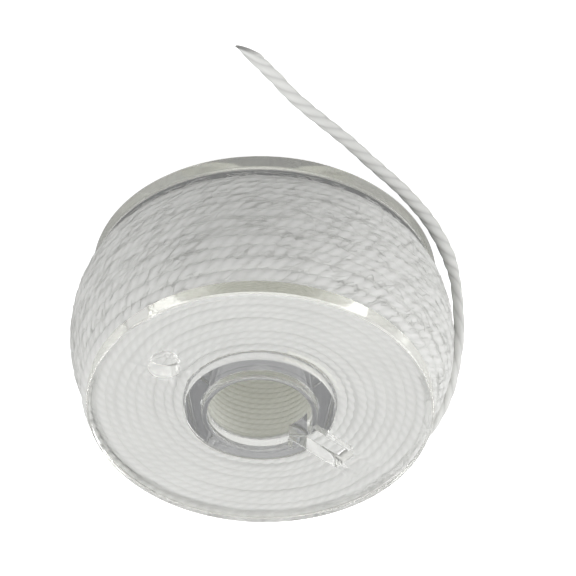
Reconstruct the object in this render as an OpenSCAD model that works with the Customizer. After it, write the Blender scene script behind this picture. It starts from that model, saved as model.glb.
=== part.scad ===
// Wound sewing-machine bobbin: a clear plastic tube with two clear flanges, a barrel of thread
// wound between them, and the thread's loose end lying on the table beside it.
// Millimetres. +Z is the bobbin's axis, and the slotted flange is on top. The origin is the
// centre of the bottom end of the tube, on the surface that the bobbin stands on.

/* [Flanges] */
// Diameter of both flanges
flange_d = 20.3; // [19:0.1:22]
// Thickness of each flange
flange_t = 1.1; // [0.8:0.05:1.5]
// Distance between the outer faces of the two flanges
rim_to_rim = 10.9; // [9:0.1:12]
// Radius of the rounded edges of the flange rims
rim_round = 0.2; // [0.1:0.05:0.35]

/* [Core tube] */
// Diameter of the spindle bore
bore_d = 6.1; // [5.9:0.05:6.3]
// Outer diameter of the raised lip round the bore
lip_d = 6.8; // [6.7:0.05:7.4]
// How far the lip stands proud of each flange
lip_h = 0.4; // [0.2:0.05:0.6]
// Diameter of the tube's ends, which are pressed into the flanges
spigot_d = 8.8; // [8.0:0.1:9.0]
// How far the end of the tube round the lip lies below the flange's face
spigot_recess = 0.1; // [0.05:0.05:0.3]
// Diameter of the tube between the flanges, which the thread is wound on
hub_d = 9.0; // [9:0.1:10]

/* [Winder slot] */
// Width of the slot for the winder's drive pin
slot_w = 1.6; // [1.0:0.1:2.0]
// Distance from the axis to the slot's outer end
slot_end = 6.65; // [5.5:0.05:7.5]
// Direction of the slot from the axis, in degrees
slot_dir = 140; // [90:1:180]

/* [Thread hole] */
// Diameter of the hole that takes the thread's inner end
thread_hole_d = 1.8; // [1.0:0.1:2.4]
// Distance from the axis to the hole
thread_hole_at = 6.6; // [6:0.1:8]
// Direction of the hole from the axis, in degrees
thread_hole_dir = 329; // [270:1:360]

/* [Thread] */
// Diameter of the winding where it meets the flanges
winding_edge_d = 18.7; // [16:0.1:19]
// Diameter of the winding at its fullest, half-way up
winding_d = 22.2; // [20:0.1:22.2]
// Diameter of the loose thread
thread_d = 0.8; // [0.4:0.1:0.8]

/* [Hidden] */
$fn = 96;

clear_plastic = [0.86, 0.88, 0.84, 0.35];
thread_white = [0.94, 0.93, 0.90];

total_h = rim_to_rim + 2 * lip_h;
plain_z = lip_h;                            // outer face of the plain flange
slotted_z = lip_h + rim_to_rim;             // outer face of the slotted flange
winding_low = plain_z + flange_t;           // inner faces of the flanges
winding_high = slotted_z - flange_t;
winding_mid = (winding_low + winding_high) / 2;
winding_half = (winding_high - winding_low) / 2;
cut = 1;                                    // how far a cutter runs past a face

// The barrel's side is part of an ellipse that ends at this share of its half height
barrel_share = 0.95;
barrel_bulge = (winding_d - winding_edge_d) / 2 / (1 - sqrt(1 - pow(barrel_share, 2)));
barrel_steps = 16;
function barrel_r(t) = winding_d / 2 - barrel_bulge * (1 - sqrt(1 - pow(barrel_share * t, 2)));

// The loose end of the thread: round the back of the winding, down its side to the table, and
// along the table to the cut end
tail_route = [
    [-9.1, 6.35, 8.3], [-9.9, 5.25, 7.9], [-10.6, 4.05, 7.4], [-11.1, 2.8, 6.8],
    [-11.35, 1.7, 6.1], [-11.5, 0.8, 5.3], [-11.55, 0.2, 4.4], [-11.5, -0.3, 3.5],
    [-11.4, -0.8, 2.6], [-11.25, -1.3, 1.8], [-11.0, -1.9, 1.1], [-10.7, -2.55, 0.7],
    [-10.35, -3.3, 0.5], [-9.9, -4.25, 0.4], [-9.3, -5.4, 0.4], [-8.6, -6.5, 0.4],
    [-7.8, -7.65, 0.4], [-6.85, -8.8, 0.4], [-5.75, -10.1, 0.4], [-4.7, -11.4, 0.4],
    [-3.5, -12.7, 0.4], [-2.3, -14.0, 0.4], [-1.2, -15.3, 0.4], [-0.3, -16.6, 0.4],
    [0.6, -17.8, 0.4], [1.4, -18.9, 0.4]
];

// A circle's arc as points, from angle a to angle b
function arc(centre, r, a, b, steps = 8) =
    [for (i = [0:steps]) let (w = a + (b - a) * i / steps) centre + r * [cos(w), sin(w)]];

// Unit vector
function unit(v) = v / norm(v);

// Direction of a route at point i
function heading(route, i) =
    unit(route[min(i + 1, len(route) - 1)] - route[max(i - 1, 0)]);

// Two directions square to the route at every point, carried along it without twisting
function carried(route, i, side) = unit(side - (side * heading(route, i)) * heading(route, i));
function sides(route, i = 0, side = [0, 0, 1]) =
    i >= len(route) ? [] :
    let (s = carried(route, i, side)) concat([s], sides(route, i + 1, s));

// A round tube swept along a route, closed at both ends
module swept_tube(route, r, edges = 8) {
    up = sides(route);
    rings = [for (i = [0:len(route) - 1])
        let (u = up[i], v = cross(heading(route, i), u))
        for (k = [0:edges - 1]) let (w = 360 * k / edges) route[i] + r * (cos(w) * u + sin(w) * v)];
    last = (len(route) - 1) * edges;
    polyhedron(
        points = rings,
        faces = concat(
            [[for (k = [0:edges - 1]) k]],
            [for (i = [0:len(route) - 2], k = [0:edges - 1])
                let (a = i * edges + k, b = i * edges + (k + 1) % edges) [a, a + edges, b + edges, b]],
            [[for (k = [edges - 1:-1:0]) last + k]]
        ),
        convexity = 4
    );
}

// A disc with both rim edges rounded and a round hole for the tube, from z = 0 to flange_t
module flange_disc() {
    r = flange_d / 2;
    rotate_extrude($fn = 160)
        polygon(concat(
            [[spigot_d / 2, 0]],
            arc([r - rim_round, rim_round], rim_round, -90, 0),
            arc([r - rim_round, flange_t - rim_round], rim_round, 0, 90),
            [[spigot_d / 2, flange_t]]
        ));
}

// The slot's cutter, from the axis outwards, upwards from z = 0
module slot_cutter(depth) {
    rotate([0, 0, slot_dir])
        translate([0, -slot_w / 2, 0])
            cube([slot_end, slot_w, depth]);
}

module core_tube() {
    color(clear_plastic)
        difference() {
            union() {
                translate([0, 0, plain_z + spigot_recess])
                    cylinder(d = spigot_d, h = rim_to_rim - 2 * spigot_recess);
                translate([0, 0, winding_low])
                    cylinder(d = hub_d, h = 2 * winding_half);
                cylinder(d = lip_d, h = total_h);
            }
            translate([0, 0, -cut])
                cylinder(d = bore_d, h = total_h + 2 * cut);
            translate([0, 0, winding_high])
                slot_cutter(flange_t + lip_h + cut);
        }
}

module slotted_flange() {
    color(clear_plastic)
        translate([0, 0, winding_high])
            difference() {
                flange_disc();
                translate([0, 0, -cut])
                    slot_cutter(flange_t + 2 * cut);
                rotate([0, 0, thread_hole_dir])
                    translate([thread_hole_at, 0, -cut])
                        cylinder(d = thread_hole_d, h = flange_t + 2 * cut, $fn = 48);
            }
}

module plain_flange() {
    color(clear_plastic)
        translate([0, 0, plain_z])
            flange_disc();
}

module thread_winding() {
    color(thread_white)
        rotate_extrude($fn = 160)
            polygon(concat(
                [[hub_d / 2, winding_low]],
                [for (i = [-barrel_steps:barrel_steps]) let (t = i / barrel_steps)
                    [barrel_r(t), winding_mid + winding_half * t]],
                [[hub_d / 2, winding_high]]
            ));
}

module thread_tail() {
    color(thread_white)
        swept_tube(tail_route, thread_d / 2);
}

core_tube();
slotted_flange();
plain_flange();
thread_winding();
thread_tail();
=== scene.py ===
"""A clear plastic sewing bobbin, wound full of white thread, with its loose end on the table."""
import math

import bmesh
import bpy
import numpy as np
from mathutils import Matrix, Vector


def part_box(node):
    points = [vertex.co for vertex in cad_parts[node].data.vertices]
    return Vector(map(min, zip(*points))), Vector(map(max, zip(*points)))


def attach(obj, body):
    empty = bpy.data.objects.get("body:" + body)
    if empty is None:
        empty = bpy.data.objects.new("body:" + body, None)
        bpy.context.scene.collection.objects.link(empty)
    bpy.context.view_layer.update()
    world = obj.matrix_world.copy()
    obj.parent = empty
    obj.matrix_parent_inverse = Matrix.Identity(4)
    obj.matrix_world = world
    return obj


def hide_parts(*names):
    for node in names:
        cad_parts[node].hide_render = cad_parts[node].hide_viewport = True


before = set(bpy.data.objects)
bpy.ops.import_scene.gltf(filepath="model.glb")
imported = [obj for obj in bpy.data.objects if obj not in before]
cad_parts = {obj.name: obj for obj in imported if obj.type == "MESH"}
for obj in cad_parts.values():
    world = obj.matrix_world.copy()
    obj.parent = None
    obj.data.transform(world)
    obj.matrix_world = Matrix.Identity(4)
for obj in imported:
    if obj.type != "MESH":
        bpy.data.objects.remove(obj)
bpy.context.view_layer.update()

MM = 0.001
BODY = "root"


# ---------------------------------------------------------------- sizes, in millimetres
def node_box(node):
    """A CAD node's lowest and highest corner, in millimetres."""
    low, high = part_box(node)
    return low / MM, high / MM


tube_low, tube_high = node_box("core_tube")
top_low, top_high = node_box("slotted_flange")
under_low = node_box("plain_flange")[0]
wound_low, wound_high = node_box("thread_winding")

FLANGE_R = top_high.x                       # outer radius of both flanges
FLANGE_T = top_high.z - top_low.z           # their thickness
RIM_ROUND = 0.2                             # rounding of their rims
HUB_R = tube_high.x                         # tube between the flanges, under the thread
SPIGOT_R = 4.4                              # tube's ends, inside the flanges
SEAT_R = 4.42                               # the flanges' own holes
LIP_R = 3.4                                 # raised lip round the bore
BORE_R = 3.05
RECESS = 0.1                                # tube's end below the flange's face
SLOT_W, SLOT_END, SLOT_DIR = 1.6, 6.65, math.radians(140)
HOLE_R, HOLE_AT, HOLE_DIR = 0.9, 6.6, math.radians(329)

WOUND_Z0, WOUND_Z1 = wound_low.z, wound_high.z
WOUND_MID, WOUND_HALF = (WOUND_Z0 + WOUND_Z1) / 2, (WOUND_Z1 - WOUND_Z0) / 2
CREST_PROUD = 0.15                          # thread's crests outside the CAD winding
WOUND_R = wound_high.x + CREST_PROUD        # winding's radius half-way up, over its crests
WOUND_EDGE_R = 9.55                         # and against the flanges
BARREL_SHARE = 0.95                         # share of an ellipse that the barrel's side is
THREAD_D = 0.8                              # the loose thread

# The loose end's route, as part.scad has it
TAIL_ROUTE = [
    (-9.1, 6.35, 8.3), (-9.9, 5.25, 7.9), (-10.6, 4.05, 7.4), (-11.1, 2.8, 6.8),
    (-11.35, 1.7, 6.1), (-11.5, 0.8, 5.3), (-11.55, 0.2, 4.4), (-11.5, -0.3, 3.5),
    (-11.4, -0.8, 2.6), (-11.25, -1.3, 1.8), (-11.0, -1.9, 1.1), (-10.7, -2.55, 0.7),
    (-10.35, -3.3, 0.5), (-9.9, -4.25, 0.4), (-9.3, -5.4, 0.4), (-8.6, -6.5, 0.4),
    (-7.8, -7.65, 0.4), (-6.85, -8.8, 0.4), (-5.75, -10.1, 0.4), (-4.7, -11.4, 0.4),
    (-3.5, -12.7, 0.4), (-2.3, -14.0, 0.4), (-1.2, -15.3, 0.4), (-0.3, -16.6, 0.4),
    (0.6, -17.8, 0.4), (1.4, -18.9, 0.4),
]


# ---------------------------------------------------------------- camera
def make_camera():
    """A long lens 42 degrees above the flanges' faces, turned half round about its own axis."""
    elevation, roll = math.radians(41.83), math.radians(180 + 1.8)
    distance, lens = 0.5, 532.3
    middle = Vector((0, 0, tube_high.z / 2)) * MM
    target = Vector((-1.405, -2.15, 3.564)) * MM
    back = Vector((0, -math.cos(elevation), math.sin(elevation)))
    camera = bpy.data.objects.new("camera", bpy.data.cameras.new("camera"))
    bpy.context.scene.collection.objects.link(camera)
    camera.data.lens, camera.data.sensor_width = lens, 36
    camera.data.clip_start, camera.data.clip_end = 0.01, 20
    place = middle + back * distance
    turn = (target - place).to_track_quat("-Z", "Y").to_matrix().to_4x4()
    camera.matrix_world = Matrix.Translation(place) @ turn @ Matrix.Rotation(roll, 4, "Z")
    bpy.context.scene.camera = camera


make_camera()


# ---------------------------------------------------------------- mesh helpers
def new_object(name, verts, faces):
    """A smooth-shaded mesh object from points in millimetres."""
    mesh = bpy.data.meshes.new(name)
    mesh.from_pydata((np.asarray(verts, float) * MM).tolist(), [], faces)
    mesh.polygons.foreach_set("use_smooth", [True] * len(mesh.polygons))
    mesh.update()
    obj = bpy.data.objects.new(name, mesh)
    bpy.context.scene.collection.objects.link(obj)
    return obj


def wobble(x, seed, waves=5):
    """Smooth noise of about -1 to 1 along x, the same every time."""
    rng = np.random.default_rng(seed)
    total = np.zeros_like(x, dtype=float)
    for i in range(waves):
        rate, start = rng.uniform(0.6, 1.6) * (i + 1) * 0.7, rng.uniform(0, 2 * math.pi)
        total += np.sin(x * rate + start) / (1 + 0.5 * i)
    return total / 2.2


def barrel_radius(z):
    """Radius of the winding at height z."""
    t = np.clip((z - WOUND_MID) / WOUND_HALF, -1, 1)
    fall = 1 - math.sqrt(1 - BARREL_SHARE**2)
    return WOUND_R - (WOUND_R - WOUND_EDGE_R) / fall * (1 - np.sqrt(1 - (BARREL_SHARE * t) ** 2))


# ---------------------------------------------------------------- thread
PLIES = 3
PLY_OFFSET = 0.25                           # a ply's centre, as a share of the thread's radius
UNEVEN_TWIST, UNEVEN_OVER = 0.5, 6          # how far an open thread's twist strays, and over what length
CREST_POWER = 5                             # how narrow the painted highlight on a ply's crest is


def ply_outline(angle, offset):
    """Radius of a thread of three plies at an angle round it, as a share of its greatest radius."""
    sector = 2 * math.pi / PLIES
    a = (angle + sector / 2) % sector - sector / 2
    rho = 1 - offset
    return offset * np.cos(a) + np.sqrt(rho**2 - (offset * np.sin(a)) ** 2)


class Strands:
    """Collects twisted threads into one mesh, with UVs in millimetres along and turns round. Each
    point has "groove", 1 deep between two plies, and "crest", 1 on top of the ply that faces out;
    the thread's material paints shade by the first and a highlight by the second."""

    def __init__(self, sides):
        self.sides, self.count = sides, 0
        self.verts, self.faces, self.uvs, self.grooves, self.crests = [], [], [], [], []

    def add(self, path, out, radius, twist_mm, start=0.0, seed=1, flat=1.0, wide=1.0,
            ply=PLY_OFFSET, closed=False, shear=None):
        """One thread along path. out is the direction its flattened side faces, one per point.
        flat and wide scale its section along out and across it. They and radius are one number
        each or one per point. ply is a ply's centre, as a share of the radius, and shear is the
        (reach, slope, lean) of an oblique cut at the far end."""
        path, out = np.asarray(path, float), np.asarray(out, float)
        n, k = len(path), self.sides
        if closed:
            along = np.roll(path, -1, 0) - np.roll(path, 1, 0)
        else:
            along = np.gradient(path, axis=0)
        along /= np.linalg.norm(along, axis=1)[:, None]
        out = out - (out * along).sum(1)[:, None] * along
        out /= np.linalg.norm(out, axis=1)[:, None]
        side = np.cross(along, out)
        step = np.linalg.norm(np.diff(path, axis=0), axis=1)
        s = np.concatenate([[0], np.cumsum(step)])
        total = s[-1] + (np.linalg.norm(path[0] - path[-1]) if closed else 0)
        if closed:                          # a whole number of twists in the loop
            turns = max(1, round(total / twist_mm))
            twist = start + 2 * math.pi * turns * s / total
        else:
            twist = start + 2 * math.pi * s / twist_mm
            twist = twist + UNEVEN_TWIST * wobble(s / UNEVEN_OVER, seed)
        round_k = np.arange(k) * 2 * math.pi / k
        share = ply_outline(round_k + math.pi / PLIES, ply)
        turned = round_k[None, :] - twist[:, None]
        radius, flat, wide = (np.broadcast_to(np.asarray(value, float), (n,))[:, None]
                              for value in (radius, flat, wide))
        x = radius * share[None, :] * np.cos(turned) * flat
        y = radius * share[None, :] * np.sin(turned) * wide
        if shear is not None:               # an oblique cut at the far end, which leans over
            reach, slope, lean = shear
            near = np.clip(1 - (s[-1] - s) / reach, 0, 1)[:, None]
            slide = (near * (slope * y + lean * x))[..., None] * along[:, None, :]
        else:
            slide = 0
        points = path[:, None] + x[..., None] * out[:, None] + y[..., None] * side[:, None] + slide
        base = self.count
        self.verts.append(points.reshape(-1, 3))
        self.count += n * k
        depth = (1 - share) / (1 - share.min() + 1e-9)
        self.grooves.append(np.tile(depth, n))
        # mask for the painted highlight: the crest of the ply that faces out
        facing = np.clip(np.cos(turned), 0, 1) ** CREST_POWER
        self.crests.append(((1 - depth)[None, :] ** 2 * facing).ravel())
        i = np.arange(n if closed else n - 1)
        j = (i + 1) % n
        kk, k1 = np.arange(k), (np.arange(k) + 1) % k
        quads = np.stack(np.broadcast_arrays(
            base + i[:, None] * k + kk, base + i[:, None] * k + k1,
            base + j[:, None] * k + k1, base + j[:, None] * k + kk), -1).reshape(-1, 4)
        self.faces.extend(quads.tolist())
        s_next = np.append(s, total)[i + 1] if closed else s[j]
        v0 = kk[None, :] / k - twist[i][:, None] / (2 * math.pi)
        v1 = kk[None, :] / k - twist[j][:, None] / (2 * math.pi)
        if closed:
            v1[-1] = kk / k - (start + 2 * math.pi * turns) / (2 * math.pi)
        u0, u1 = np.broadcast_to(s[i][:, None], v0.shape), np.broadcast_to(s_next[:, None], v0.shape)
        self.uvs.append(np.stack([
            np.stack([u0, v0], -1), np.stack([u0, v0 + 1 / k], -1),
            np.stack([u1, v1 + 1 / k], -1), np.stack([u1, v1], -1)], 2).reshape(-1, 2))
        if not closed:
            for end, order in ((0, kk[::-1]), (n - 1, kk)):
                self.faces.append((base + end * k + order).tolist())
                self.uvs.append(np.tile([s[end], 0.0], (k, 1)))

    def build(self, name, material):
        """Makes the object, which rides on the body and takes the thread's finish."""
        obj = new_object(name, np.concatenate(self.verts), self.faces)
        uv = obj.data.uv_layers.new(name="thread")
        uv.data.foreach_set("uv", np.concatenate(self.uvs).ravel())
        for key, values in (("groove", self.grooves), ("crest", self.crests)):
            attribute = obj.data.attributes.new(key, "FLOAT", "POINT")
            attribute.data.foreach_set("value", np.concatenate(values))
        obj.data.materials.append(material)
        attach(obj, BODY)
        return obj


# ---------------------------------------------------------------- materials
class Nodes:
    """A material's node tree with short ways to add and join nodes."""

    def __init__(self, name):
        self.material = bpy.data.materials.new(name)
        self.material.use_nodes = True
        self.tree = self.material.node_tree
        self.tree.nodes.clear()
        self.out = self.add("ShaderNodeOutputMaterial")

    def add(self, kind, **inputs):
        node = self.tree.nodes.new(kind)
        for key, value in inputs.items():
            self.set(node, key.replace("_", " "), value)
        return node

    def set(self, node, key, value):
        if isinstance(value, bpy.types.NodeSocket):
            self.tree.links.new(value, node.inputs[key])
        else:
            node.inputs[key].default_value = value

    def math(self, what, a, b=0.5, c=0.5):
        node = self.add("ShaderNodeMath")
        node.operation = what
        for i, value in enumerate((a, b, c)):
            self.set(node, i, value)
        return node.outputs[0]

    def mix(self, factor, a, b):
        node = self.add("ShaderNodeMix")
        node.data_type = "RGBA"
        self.set(node, 0, factor)
        self.set(node, 6, a)
        self.set(node, 7, b)
        return node.outputs[2]


PATCH_DARK, PATCH_LIGHT = (0.72, 0.723, 0.70, 1), (0.83, 0.833, 0.81, 1)
FIBRE_SHADE, CREST_LIGHT = (0.62, 0.62, 0.60, 1), (0.94, 0.94, 0.93, 1)
# painted shade: the colour that the grooves between plies are darkened towards
GROOVE_SHADE = (0.54, 0.54, 0.52, 1)
INSIDE_GLOW = (1.0, 1.0, 0.78, 1)           # painted glow, standing in for light that has passed through the tube
FIBRES_ALONG, FIBRES_ROUND = 0.9, 34.0      # noise cells per millimetre and per turn
PATCHES_PER_M = 330.0
GROOVE_POWER, STREAKS, CREST_HIGHLIGHT = 1.6, 0.22, 0.33     # how narrow the painted groove shade is, and the shares of fibre streaks and painted crest highlight


def thread_material(name, glow=0.0, dark=0.14):
    """White spun thread: fibres along it, painted shade in the grooves between its plies, a painted
    highlight on each ply's crest, slight unevenness. glow is a painted glow on the thread behind the
    clear tube, standing in for the light that the tube carries in, and dark is how much of the
    grooves' painted shade shows."""
    n = Nodes(name)
    uv = n.add("ShaderNodeUVMap")
    uv.uv_map = "thread"
    split = n.add("ShaderNodeSeparateXYZ", Vector=uv.outputs[0])
    fibre_at = n.add("ShaderNodeCombineXYZ")
    n.set(fibre_at, "X", n.math("MULTIPLY", split.outputs[0], FIBRES_ALONG))
    n.set(fibre_at, "Y", n.math("MULTIPLY", split.outputs[1], FIBRES_ROUND))
    fibre = n.add("ShaderNodeTexNoise", Vector=fibre_at.outputs[0], Scale=1.0, Detail=2.0)
    place = n.add("ShaderNodeTexCoord")
    patch = n.add("ShaderNodeTexNoise", Vector=place.outputs["Object"], Scale=PATCHES_PER_M,
                  Detail=2.0)
    groove = n.add("ShaderNodeAttribute")
    groove.attribute_name = "groove"
    crest = n.add("ShaderNodeAttribute")
    crest.attribute_name = "crest"
    # painted shade, deepest between two plies
    depth = n.math("MULTIPLY", n.math("POWER", groove.outputs["Fac"], GROOVE_POWER), dark)
    clean = n.mix(patch.outputs["Fac"], PATCH_DARK, PATCH_LIGHT)
    streaked = n.mix(n.math("MULTIPLY", fibre.outputs["Fac"], STREAKS), clean, FIBRE_SHADE)
    # painted highlight on the crest of the ply that faces out
    lit = n.mix(n.math("MULTIPLY", crest.outputs["Fac"], CREST_HIGHLIGHT), streaked, CREST_LIGHT)
    colour = n.mix(depth, lit, GROOVE_SHADE)
    bump = n.add("ShaderNodeBump", Strength=0.35, Distance=0.03 * MM, Height=fibre.outputs["Fac"])
    rough = n.math("MULTIPLY_ADD", fibre.outputs["Fac"], 0.2, 0.5)
    shader = n.add("ShaderNodeBsdfPrincipled", Base_Color=colour, Roughness=rough,
                   Normal=bump.outputs[0], Sheen_Weight=0.25, Sheen_Roughness=0.5,
                   Emission_Color=INSIDE_GLOW, Emission_Strength=glow)
    n.set(n.out, "Surface", shader.outputs[0])
    return n.material


STYRENE_IOR = 1.53
CLEAN, MILKY = (0.995, 0.995, 0.995, 1), (0.94, 0.94, 0.88, 1)
# colour of the painted glow that stands in for light guided inside the plastic
PAINTED_GUIDED_GLOW = (1.0, 1.0, 0.96, 1)
DEEP_GLOSSY, DEEP_RAY = 2.5, 9.5            # a ray past this many reflections, or bounces in all,
DEEP_CLEAR = 0.5                            # meets a painted glow for guided light, and this share of it goes straight on
MILK_LEAST, MILK_MARKS, MILK_EDGE = 0.04, 0.14, 0.12    # a milky rim's share of milk, and its soft edge


def milky_rim(n, glass, place, marks, rim_r):
    """Makes the plastic beyond radius rim_r a little milky, as a worn moulded rim is."""
    flat_place = n.add("ShaderNodeVectorMath")
    flat_place.operation = "MULTIPLY"
    n.set(flat_place, 0, place.outputs["Object"])
    n.set(flat_place, 1, (1, 1, 0))
    radius = n.add("ShaderNodeVectorMath")
    radius.operation = "LENGTH"
    n.set(radius, 0, flat_place.outputs[0])
    beyond = n.add("ShaderNodeMapRange", Value=radius.outputs["Value"])
    n.set(beyond, "From Min", rim_r * MM)
    n.set(beyond, "From Max", (rim_r + MILK_EDGE) * MM)
    amount = n.math("MULTIPLY_ADD", marks.outputs["Fac"], MILK_MARKS, MILK_LEAST)
    milk = n.math("MULTIPLY", beyond.outputs[0], amount)
    n.set(glass, "Transmission Weight", n.math("SUBTRACT", 1.0, milk))
    n.set(glass, "Base Color", n.mix(beyond.outputs[0], CLEAN, MILKY))


def clear_material(name, tint, density, guided, passes=0.965, rim_r=None):
    """Clear moulded styrene, which tints light along its length and lets the lamps' light through.
    guided is the strength of a painted glow, standing in for the light that it carries inside it,
    seen after several reflections. passes is the share of a lamp's light that each face lets by.
    Beyond rim_r the plastic is a little milky."""
    n = Nodes(name)
    place = n.add("ShaderNodeTexCoord")
    flow = n.add("ShaderNodeTexNoise", Vector=place.outputs["Object"], Scale=180.0, Detail=2.0)
    marks = n.add("ShaderNodeTexNoise", Vector=place.outputs["Object"], Scale=2600.0, Detail=3.0)
    bump = n.add("ShaderNodeBump", Strength=0.10, Distance=0.02 * MM, Height=flow.outputs["Fac"])
    rough = n.math("MULTIPLY_ADD", marks.outputs["Fac"], 0.03, 0.005)
    glass = n.add("ShaderNodeBsdfPrincipled", Base_Color=CLEAN, Roughness=rough, IOR=STYRENE_IOR,
                  Transmission_Weight=1.0, Normal=bump.outputs[0])
    if rim_r:
        milky_rim(n, glass, place, marks, rim_r)
    path = n.add("ShaderNodeLightPath")
    deep = n.math("MAXIMUM", n.math("GREATER_THAN", path.outputs["Glossy Depth"], DEEP_GLOSSY),
                  n.math("GREATER_THAN", path.outputs["Ray Depth"], DEEP_RAY))
    # painted glow on the plastic, for rays that have reflected many times, standing in for guided light
    n.set(glass, "Emission Color", PAINTED_GUIDED_GLOW)
    n.set(glass, "Emission Strength", n.math("MULTIPLY", deep, guided))
    lamp = n.add("ShaderNodeBsdfTransparent", Color=(passes, passes, passes, 1))
    lamp_ray = n.math("MAXIMUM", path.outputs["Is Shadow Ray"], path.outputs["Is Diffuse Ray"])
    through = n.math("MAXIMUM", lamp_ray, n.math("MULTIPLY", deep, DEEP_CLEAR))
    both = n.add("ShaderNodeMixShader", Fac=through)
    n.tree.links.new(glass.outputs[0], both.inputs[1])
    n.tree.links.new(lamp.outputs[0], both.inputs[2])
    n.set(n.out, "Surface", both.outputs[0])
    dye = n.add("ShaderNodeVolumeAbsorption", Color=tint, Density=density)
    n.set(n.out, "Volume", dye.outputs[0])
    return n.material


THREAD = thread_material("white_thread")
# the thread behind the tube gets a painted glow, for the light that the clear tube carries in
INNER_THREAD = thread_material("inner_thread", glow=0.12)
LOOSE_THREAD = thread_material("loose_thread", dark=0.7)
MILKY_R = FLANGE_R - 0.14
CLEAR_FLANGE = clear_material("clear_flange", tint=(0.82, 0.835, 0.77, 1), density=28.0,
                              guided=0.28, rim_r=MILKY_R)
CLEAR_BASE = clear_material("clear_base", tint=(0.80, 0.82, 0.75, 1), density=28.0,
                            guided=0.37, passes=0.42, rim_r=MILKY_R)
CLEAR_TUBE = clear_material("clear_tube", tint=(0.78, 0.80, 0.83, 1), density=42.0, guided=0.14)


# ---------------------------------------------------------------- loose end
def smooth_route(points, spacing):
    """A Catmull-Rom curve through the route's points, with points spaced evenly along it."""
    p = np.asarray(points, float)
    p = np.concatenate([[2 * p[0] - p[1]], p, [2 * p[-1] - p[-2]]])
    t = np.linspace(0, 1, 24, endpoint=False)[:, None]
    fine = []
    for a, b, c, d in zip(p[:-3], p[1:-2], p[2:-1], p[3:]):
        fine.append(0.5 * (2 * b + (c - a) * t + (2 * a - 5 * b + 4 * c - d) * t**2
                           + (3 * b - a - 3 * c + d) * t**3))
    fine = np.concatenate(fine + [p[-2:-1]])
    s = np.concatenate([[0], np.cumsum(np.linalg.norm(np.diff(fine, axis=0), axis=1))])
    at = np.linspace(0, s[-1], int(s[-1] / spacing) + 1)
    return np.stack([np.interp(at, s, fine[:, i]) for i in range(3)], 1), s[-1]


TAIL_FLAT, TAIL_WIDE = 0.84, 1.04           # the loose thread is a little flat on what it lies on
TAIL_TWIST, TAIL_PLY = 3.9, 0.24            # millimetres per turn of its plies, and their offset
TAIL_CUT = (1.6, -1.9, 0.9)                 # its oblique cut end: reach, slope and lean
TAIL_STEP = 0.11                            # distance between its points
LIES_BELOW, LIES_OVER = 2.0, 1.6            # below this height it turns to the table, over this drop
JOIN = np.linspace(1.0, 0.8, 7)             # the two lengths thin out inside each other at their join


def make_tail():
    """The free end of the thread, from the winding to its cut end. Returns its path and way out."""
    path, length = smooth_route(TAIL_ROUTE, TAIL_STEP)
    radial = path * [1, 1, 0]
    radial /= np.linalg.norm(radial, axis=1)[:, None]
    lying = np.clip((LIES_BELOW - path[:, 2:3]) / LIES_OVER, 0, 1)  # 0 on the winding, 1 on the table
    out = radial * (1 - lying) + np.array([0, 0, 1.0]) * lying
    radius = np.full(len(path), THREAD_D / 2)
    radius[:len(JOIN)] *= JOIN[::-1]
    strands = Strands(sides=24)
    strands.add(path, out, radius, twist_mm=TAIL_TWIST, start=0.3, seed=4, flat=TAIL_FLAT,
                wide=TAIL_WIDE, ply=TAIL_PLY, shear=TAIL_CUT)
    tail = strands.build("loose_end", LOOSE_THREAD)
    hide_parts("thread_tail")
    return path, out


tail_path, tail_out = make_tail()


# ---------------------------------------------------------------- winding
TURN_PITCH = 0.64                           # height of one turn on the barrel's side
SIDE_R, SIDE_FLAT, SIDE_SUNK = 0.45, 0.46, 0.19     # its radius, flatness and depth below the surface
SIDE_EDGE = 0.36                            # first and last turn's distance from the flanges
SIDE_STEP, RING_STEP, INNER_STEP = 0.17, 0.15, 0.13     # distances between a thread's points
SIDE_TWIST, RING_TWIST, INNER_TWIST = 2.3, 2.1, 1.9     # millimetres per turn of its plies
LAST_TURN = 0.55                            # turns on top of the layer, down to the loose end
DROP_EVEN, DROP_LATE = 0.39, 0.61           # shares of its drop that are spread out and at the end
RINGS, RING_R, RING_FLAT = 9, 0.33, 0.52    # the turns against each flange
RING_FIRST, RING_LAST = 0.28, 0.26          # their distances from the hub and the winding's edge
RING_SUNK, RING_ALTERNATE = 0.19, 0.05      # their depth, and what every other one adds to it
INNER_PITCH, INNER_R, INNER_WIDER = 0.40, 0.21, 0.04    # the first layer, on the tube
INNER_CLEAR = 0.03                          # its distance from the tube


def on_barrel(angle, z, sunk):
    """Points on the barrel at angles and heights, sunk below its surface, and the way out."""
    slope = (barrel_radius(z + 0.01) - barrel_radius(z - 0.01)) / 0.02
    out = np.stack([np.cos(angle), np.sin(angle), -slope], 1)
    out /= np.linalg.norm(out, axis=1)[:, None]
    r = barrel_radius(z)
    surface = np.stack([r * np.cos(angle), r * np.sin(angle), z], 1)
    return surface - out * np.broadcast_to(np.asarray(sunk, float), z.shape)[:, None], out


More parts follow.
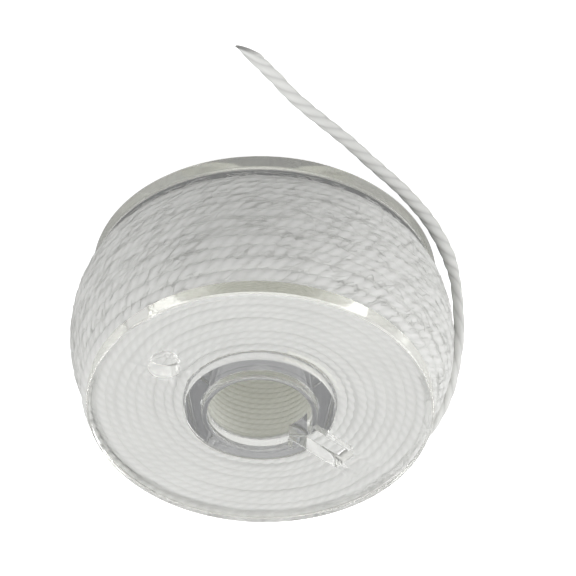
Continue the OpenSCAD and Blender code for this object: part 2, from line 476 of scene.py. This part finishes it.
def make_winding_side():
    """The outermost layer: one thread round the barrel from the bottom up to the loose end."""
    end_angle = math.atan2(tail_path[0][1], tail_path[0][0])
    low, high = WOUND_Z0 + SIDE_EDGE, WOUND_Z1 - SIDE_EDGE
    turns_up = (high - low) / TURN_PITCH
    turns = turns_up + LAST_TURN
    start_angle = end_angle - 2 * math.pi * turns
    count = int(turns * 2 * math.pi * WOUND_R / SIDE_STEP)
    t = np.linspace(0, turns, count)
    angle = start_angle + 2 * math.pi * t
    up = np.clip(t / turns_up, 0, 1)
    z = low + (high - low) * up + 0.07 * wobble(angle * 0.8, 11) * np.sin(math.pi * up)
    over = np.clip((t - turns_up) / LAST_TURN, 0, 1)
    ease = DROP_EVEN * over * over * (3 - 2 * over) + DROP_LATE * over**12
    z = z + (tail_path[0][2] - high) * ease
    lift = np.clip(over * 2.2, 0, 1)
    lift = lift * lift * (3 - 2 * lift)
    rise = math.hypot(*tail_path[0][:2]) - barrel_radius(tail_path[0][2])
    sunk = SIDE_SUNK * (1 - lift) - rise * lift + 0.03 * wobble(angle * 0.9, 5) * (1 - lift)
    path, out = on_barrel(angle, z, sunk)
    strands = Strands(sides=15)
    inside = len(JOIN)                      # its end lies inside the start of the loose end
    path = np.concatenate([path, tail_path[1:inside]])
    out = np.concatenate([out, tail_out[1:inside]])
    lift = np.concatenate([lift, np.ones(inside - 1)])
    radius = SIDE_R + (THREAD_D / 2 - SIDE_R) * lift
    radius[-inside:] *= JOIN
    flat, wide = SIDE_FLAT + (TAIL_FLAT - SIDE_FLAT) * lift, 1.0 + (TAIL_WIDE - 1.0) * lift
    strands.add(path, out, radius, twist_mm=SIDE_TWIST, seed=2, flat=flat, wide=wide)
    return strands.build("winding_side", THREAD)


def make_winding_face(name, z_face, way, seed):
    """The turns that lie against a flange, ring by ring. way is +1 under the top flange."""
    first, last = HUB_R + RING_FIRST, WOUND_EDGE_R - RING_LAST
    strands = Strands(sides=12)
    for i in range(RINGS):
        radius = first + (last - first) * i / (RINGS - 1)
        count = int(2 * math.pi * radius / RING_STEP)
        angle = np.linspace(0, 2 * math.pi, count, endpoint=False)
        loose = np.sin(angle * (2 + i % 3) + seed + i) + 0.6 * np.sin(angle * 5 + 2.1 * i + seed)
        r = radius + 0.025 * loose
        sunk = RING_SUNK + RING_ALTERNATE * (i % 2) + 0.02 * np.cos(angle * 3 + 1.7 * i + seed)
        path = np.stack([r * np.cos(angle), r * np.sin(angle), z_face - way * sunk], 1)
        out = np.tile([0, 0, float(way)], (count, 1))
        strands.add(path, out, RING_R, twist_mm=RING_TWIST, start=1.3 * i, closed=True,
                    flat=RING_FLAT)
    return strands.build(name, THREAD)


def make_winding_inside():
    """The first layer, which shows through the tube's wall."""
    low, high = WOUND_Z0 + INNER_R, WOUND_Z1 - INNER_R
    turns = (high - low) / INNER_PITCH
    count = int(turns * 2 * math.pi * HUB_R / INNER_STEP)
    t = np.linspace(0, turns, count)
    angle = 2 * math.pi * t
    z = low + INNER_PITCH * t + 0.02 * wobble(angle, 8)
    r = HUB_R + INNER_R + INNER_CLEAR
    path = np.stack([r * np.cos(angle), r * np.sin(angle), z], 1)
    out = np.stack([-np.cos(angle), -np.sin(angle), 0 * angle], 1)
    strands = Strands(sides=12)
    strands.add(path, out, INNER_R + INNER_WIDER, twist_mm=INNER_TWIST, seed=6, flat=0.7, ply=0.2)
    return strands.build("winding_inside", INNER_THREAD)


FIBRES, LINT, FIBRE_STEPS = 3200, 700, 8
LINT_ON_TOP = 0.4                           # share of the lint that is under the top flange


def taper(t):
    """A fibre's thickness along it, which falls off towards both ends."""
    return 1 - 0.7 * np.abs(2 * t - 1) ** 3


def side_fibre(rng, t):
    """A fibre that lies over the winding's side: its path, the way out and its thickness."""
    length, lean = rng.uniform(0.5, 2.4), rng.normal(0.35, 0.3)
    z0, turn0 = rng.uniform(WOUND_Z0 + 0.1, WOUND_Z1 - 0.1), rng.uniform(0, 2 * math.pi)
    bend, lift = rng.normal(0, 0.25), rng.uniform(0.0, 0.09)
    z = z0 + length * t * math.sin(lean) + bend * np.sin(math.pi * t)
    z = np.clip(z, WOUND_Z0 + 0.05, WOUND_Z1 - 0.05)
    angle = turn0 + length * t * math.cos(lean) / WOUND_R
    path, out = on_barrel(angle, z, 0.03 - lift * np.sin(math.pi * t))
    return path, out, rng.uniform(0.010, 0.019) * taper(t)


def corner_lint(rng, t):
    """A fibre in the corner between the winding and one of the flanges."""
    z_face, way = ((WOUND_Z0, 1), (WOUND_Z1, -1))[int(rng.uniform() < LINT_ON_TOP)]
    turn0, length, stray = rng.uniform(0, 2 * math.pi), rng.uniform(0.3, 1.1), rng.normal(0, 0.9)
    r = WOUND_EDGE_R + rng.uniform(0.0, 0.45) + length * stray * t * 0.5
    r = np.clip(r, WOUND_EDGE_R - 0.1, FLANGE_R - 0.2)
    angle = turn0 + length * t / FLANGE_R
    height = rng.uniform(0.02, 0.14) + rng.uniform(0, 0.12) * np.sin(math.pi * t)
    path = np.stack([r * np.cos(angle), r * np.sin(angle), z_face + way * height], 1)
    return path, np.tile([0, 0, 1.0], (len(t), 1)), rng.uniform(0.012, 0.026) * taper(t)


def make_fuzz():
    """Fine loose fibres over the winding's side, and lint in the corners against the flanges."""
    rng = np.random.default_rng(7)
    strands = Strands(sides=3)
    t = np.linspace(0, 1, FIBRE_STEPS)
    for make, count in ((side_fibre, FIBRES), (corner_lint, LINT)):
        for _ in range(count):
            path, out, thick = make(rng, t)
            strands.add(path, out, thick, twist_mm=50, ply=0)
    return strands.build("winding_fuzz", THREAD)


def make_winding_core():
    """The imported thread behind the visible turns, a ring that no gap shows through."""
    face_gap, side_gap, inner_gap, steps, around = 0.12, 0.08, 0.45, 14, 128
    z = np.linspace(WOUND_Z0 + face_gap, WOUND_Z1 - face_gap, steps)
    outline = [(HUB_R + inner_gap, z[0])]
    outline += [(float(barrel_radius(h)) - side_gap, h) for h in z]
    outline += [(HUB_R + inner_gap, z[-1])]
    core = lathe("winding_core", outline, around)
    core.data.uv_layers.new(name="thread")
    core.data.materials.append(THREAD)
    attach(core, BODY)
    return core


# ---------------------------------------------------------------- clear plastic
SHARP_ANGLE = math.radians(28)              # plastic edges above this look crisp
SLOT_BEVEL, SLOT_FILLET = 0.07, 0.14        # rounding of the cuts' edges and the slot's corners


def lathe(name, outline, around):
    """A ring turned about +Z from a closed outline of (radius, height), in millimetres."""
    n = len(outline)
    angle = np.arange(around) * 2 * math.pi / around
    r, z = np.array(outline, float).T
    verts = np.stack([np.cos(angle)[:, None] * r, np.sin(angle)[:, None] * r,
                      np.broadcast_to(z, (around, n))], -1).reshape(-1, 3)
    faces = []
    for i in range(around):
        j = (i + 1) % around
        for k in range(n):
            m = (k + 1) % n
            faces.append((i * n + k, j * n + k, j * n + m, i * n + m))
    obj = new_object(name, verts, faces)
    turn_out(obj)
    return obj


def turn_out(obj):
    """Makes every face of a closed mesh look outwards."""
    bm = bmesh.new()
    bm.from_mesh(obj.data)
    bmesh.ops.recalc_face_normals(bm, faces=bm.faces)
    bm.to_mesh(obj.data)
    bm.free()


def corner(r, z, radius, start, end, steps=5):
    """A rounded corner's points, about the centre (r, z), from one angle to another."""
    angles = np.radians(np.linspace(start, end, steps + 1))
    return [(r + radius * math.cos(a), z + radius * math.sin(a)) for a in angles]


def slot_outline(offset, inner):
    """The slot's outline in the XY plane, from radius inner outwards, grown by offset."""
    half, end, fillet = SLOT_W / 2 + offset, SLOT_END + offset, SLOT_FILLET + offset
    points = [(inner, -half), *corner(end - fillet, -half + fillet, fillet, -90, 0, 4),
              *corner(end - fillet, half - fillet, fillet, 0, 90, 4), (inner, half)]
    c, s = math.cos(SLOT_DIR), math.sin(SLOT_DIR)
    return [(x * c - y * s, x * s + y * c) for x, y in points]


def hole_outline(offset):
    """The thread hole's outline in the XY plane, grown by offset."""
    r, steps = HOLE_R + offset, 48
    x, y = HOLE_AT * math.cos(HOLE_DIR), HOLE_AT * math.sin(HOLE_DIR)
    return [(x + r * math.cos(a), y + r * math.sin(a))
            for a in (2 * math.pi * i / steps for i in range(steps))]


def carve(obj, outline_at, levels):
    """Cuts a prism out of obj. levels are (height, offset), so the cut's edges can be rounded."""
    rings = [outline_at(offset) for _, offset in levels]
    n = len(rings[0])
    verts = [(x, y, z) for ring, (z, _) in zip(rings, levels) for x, y in ring]
    faces = [tuple(reversed(range(n))), tuple(range((len(levels) - 1) * n, len(levels) * n))]
    for i in range(len(levels) - 1):
        faces += [(i * n + k, i * n + (k + 1) % n, (i + 1) * n + (k + 1) % n, (i + 1) * n + k)
                  for k in range(n)]
    cutter = new_object("cutter", verts, faces)
    turn_out(cutter)
    cut = obj.modifiers.new("cut", "BOOLEAN")
    cut.operation, cut.solver, cut.object = "DIFFERENCE", "EXACT", cutter
    evaluated = obj.evaluated_get(bpy.context.evaluated_depsgraph_get())
    mesh = bpy.data.meshes.new_from_object(evaluated)
    obj.modifiers.clear()
    old, obj.data = obj.data, mesh
    bpy.data.meshes.remove(old)
    mesh.name = obj.name
    bpy.data.objects.remove(cutter)


def edge_levels(low, high, bevel, past=0.5):
    """Cutter levels that round both edges of a plate between two heights."""
    down = [(low - past, bevel), (low, bevel), (low + 0.3 * bevel, 0.3 * bevel), (low + bevel, 0)]
    up = [(high - bevel, 0), (high - 0.3 * bevel, 0.3 * bevel), (high, bevel), (high + past, bevel)]
    return down + up


def finish_plastic(obj, material, node):
    """Smooth shading with crisp edges, its material, its body and the CAD node it stands for."""
    obj.data.materials.clear()
    obj.data.materials.append(material)
    obj.data.polygons.foreach_set("use_smooth", [True] * len(obj.data.polygons))
    obj.data.set_sharp_from_angle(angle=SHARP_ANGLE)
    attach(obj, BODY)
    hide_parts(node)
    return obj


def flange_outline(z_low):
    """A flange's section, a plate with a rounded rim, as (radius, height)."""
    r, t = FLANGE_R, FLANGE_T
    return [
        (SEAT_R, z_low),
        *corner(r - RIM_ROUND, z_low + RIM_ROUND, RIM_ROUND, -90, 0, 7),
        *corner(r - RIM_ROUND, z_low + t - RIM_ROUND, RIM_ROUND, 0, 90, 7),
        (SEAT_R, z_low + t),
    ]


def make_flange(name, z_low, node, material, cut=False):
    """A flange from height z_low up. cut gives it the winder slot and the thread hole."""
    flange = lathe(name, flange_outline(z_low), 256)
    if cut:
        levels = edge_levels(z_low, z_low + FLANGE_T, SLOT_BEVEL)
        carve(flange, lambda grow: slot_outline(grow, BORE_R), levels)
        carve(flange, hole_outline, levels)
    return finish_plastic(flange, material, node)


def make_tube():
    """The tube: a lip at each end, ends inside the flanges, and a wider hub under the thread."""
    lip, small, gap = 0.13, 0.05, 0.012
    z0, z1 = tube_low.z, tube_high.z
    face_low, face_high = under_low.z + RECESS, top_high.z - RECESS
    seat_low, seat_high = WOUND_Z0 + gap, WOUND_Z1 - gap
    outline = [
        *corner(BORE_R + lip, z0 + lip, lip, 180, 270), *corner(LIP_R - lip, z0 + lip, lip, -90, 0),
        (LIP_R, face_low - small), (LIP_R + small, face_low),
        (SPIGOT_R - small, face_low), (SPIGOT_R, face_low + small),
        (SPIGOT_R, seat_low), (HUB_R - small, seat_low), (HUB_R, seat_low + small),
        (HUB_R, seat_high - small), (HUB_R - small, seat_high), (SPIGOT_R, seat_high),
        (SPIGOT_R, face_high - small), (SPIGOT_R - small, face_high),
        (LIP_R + small, face_high), (LIP_R, face_high + small),
        *corner(LIP_R - lip, z1 - lip, lip, 0, 90), *corner(BORE_R + lip, z1 - lip, lip, 90, 180),
    ]
    tube = lathe("clear_tube", outline, 256)
    levels = [(WOUND_Z1, 0), (face_high - 0.05, 0), (face_high, 0.05), (z1 + 0.5, 0.05)]
    carve(tube, lambda grow: slot_outline(grow, 0.0), levels)
    return finish_plastic(tube, CLEAR_TUBE, "core_tube")


side = make_winding_side()
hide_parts("thread_winding")
make_winding_face("winding_top", WOUND_Z1, 1, seed=0.4)
make_winding_face("winding_bottom", WOUND_Z0, -1, seed=2.2)
make_winding_inside()
make_winding_core()
make_fuzz()
make_flange("top_flange", top_low.z, "slotted_flange", CLEAR_FLANGE, cut=True)
make_flange("bottom_flange", under_low.z, "plain_flange", CLEAR_BASE)
make_tube()


# ---------------------------------------------------------------- floor and light
FLOOR_PAINT, FLOOR_IN_PLASTIC = (0.82, 0.82, 0.82, 1), (0.1, 0.1, 0.1, 1)
FLOOR_GLOW_SEEN, FLOOR_GLOW_MIRRORED, FLOOR_GLOW_BENT = 0.95, 0.34, 0.2


def make_floor():
    """A plain pale floor. It is white to the camera, and dimmer and more even in the plastic."""
    size = 3000
    floor = new_object("floor", [(-size, -size, 0), (size, -size, 0), (size, size, 0),
                                 (-size, size, 0)], [(0, 1, 2, 3)])
    n = Nodes("pale_floor")
    path = n.add("ShaderNodeLightPath")
    seen, bent = path.outputs["Is Camera Ray"], path.outputs["Is Transmission Ray"]
    in_plastic = path.outputs["Is Glossy Ray"]        # refracted rays count as glossy ones too
    mirrored = n.math("SUBTRACT", in_plastic, bent)
    base = n.mix(in_plastic, FLOOR_PAINT, FLOOR_IN_PLASTIC)
    glow = n.math("MULTIPLY", mirrored, FLOOR_GLOW_MIRRORED)
    glow = n.math("MULTIPLY_ADD", seen, FLOOR_GLOW_SEEN, glow)
    glow = n.math("MULTIPLY_ADD", bent, FLOOR_GLOW_BENT, glow)
    paint = n.add("ShaderNodeBsdfPrincipled", Base_Color=base, Roughness=0.9,
                  Emission_Color=(1, 1, 1, 1), Emission_Strength=glow)
    n.set(n.out, "Surface", paint.outputs[0])
    floor.data.materials.append(n.material)


def softbox(name, place, aim, size, watts):
    """A white rectangular lamp at place, aimed at aim, all in metres."""
    lamp = bpy.data.lights.new(name, "AREA")
    lamp.shape, lamp.size, lamp.size_y = "RECTANGLE", *size
    lamp.energy = watts
    obj = bpy.data.objects.new(name, lamp)
    bpy.context.scene.collection.objects.link(obj)
    obj.location = place
    obj.rotation_euler = (Vector(aim) - Vector(place)).to_track_quat("-Z", "Y").to_euler()
    return obj


def make_world():
    """Even light on the thread, a sky that darkens to the horizon in the plastic, a white backdrop."""
    world = bpy.data.worlds.new("studio")
    bpy.context.scene.world = world
    world.use_nodes = True
    nodes, links = world.node_tree.nodes, world.node_tree.links
    nodes.clear()
    even, horizon, sky, backdrop_level = 0.44, 0.12, 0.76, 1.0
    place, split = nodes.new("ShaderNodeTexCoord"), nodes.new("ShaderNodeSeparateXYZ")
    links.new(place.outputs["Generated"], split.inputs[0])
    rise = nodes.new("ShaderNodeMapRange")
    rise.interpolation_type = "SMOOTHSTEP"
    links.new(split.outputs["Z"], rise.inputs["Value"])
    for key, value in {"From Min": 0.08, "From Max": 0.4, "To Min": horizon, "To Max": sky}.items():
        rise.inputs[key].default_value = value
    path = nodes.new("ShaderNodeLightPath")
    strength = nodes.new("ShaderNodeMix")       # what the thread gets, or what the plastic shows
    links.new(path.outputs["Is Diffuse Ray"], strength.inputs["Factor"])
    links.new(rise.outputs["Result"], strength.inputs["A"])
    strength.inputs["B"].default_value = even
    light, backdrop = nodes.new("ShaderNodeBackground"), nodes.new("ShaderNodeBackground")
    light.inputs["Color"].default_value = backdrop.inputs["Color"].default_value = (1, 1, 1, 1)
    links.new(strength.outputs["Result"], light.inputs["Strength"])
    backdrop.inputs["Strength"].default_value = backdrop_level
    mix, out = nodes.new("ShaderNodeMixShader"), nodes.new("ShaderNodeOutputWorld")
    links.new(path.outputs["Is Camera Ray"], mix.inputs[0])
    links.new(light.outputs[0], mix.inputs[1])
    links.new(backdrop.outputs[0], mix.inputs[2])
    links.new(mix.outputs[0], out.inputs["Surface"])


make_floor()
make_world()
FOOT, WAIST = (0, 0, 0), (0, 0, 0.006)      # what the lamps are aimed at
overhead = softbox("overhead", (0.03, 0.06, 0.75), FOOT, size=(0.7, 0.7), watts=2.1)
overhead.visible_transmission = False       # seen through plastic, these two would burn out patches
back = softbox("back", (0.0, 0.5, 0.45), FOOT, size=(0.6, 0.45), watts=0.5)
back.visible_transmission = back.visible_glossy = False
softbox("left_fill", (0.45, 0.05, 0.16), WAIST, size=(0.3, 0.3), watts=0.42)
softbox("right_fill", (-0.45, 0.0, 0.16), WAIST, size=(0.3, 0.3), watts=0.85)
bpy.context.scene.view_settings.view_transform = "Standard"
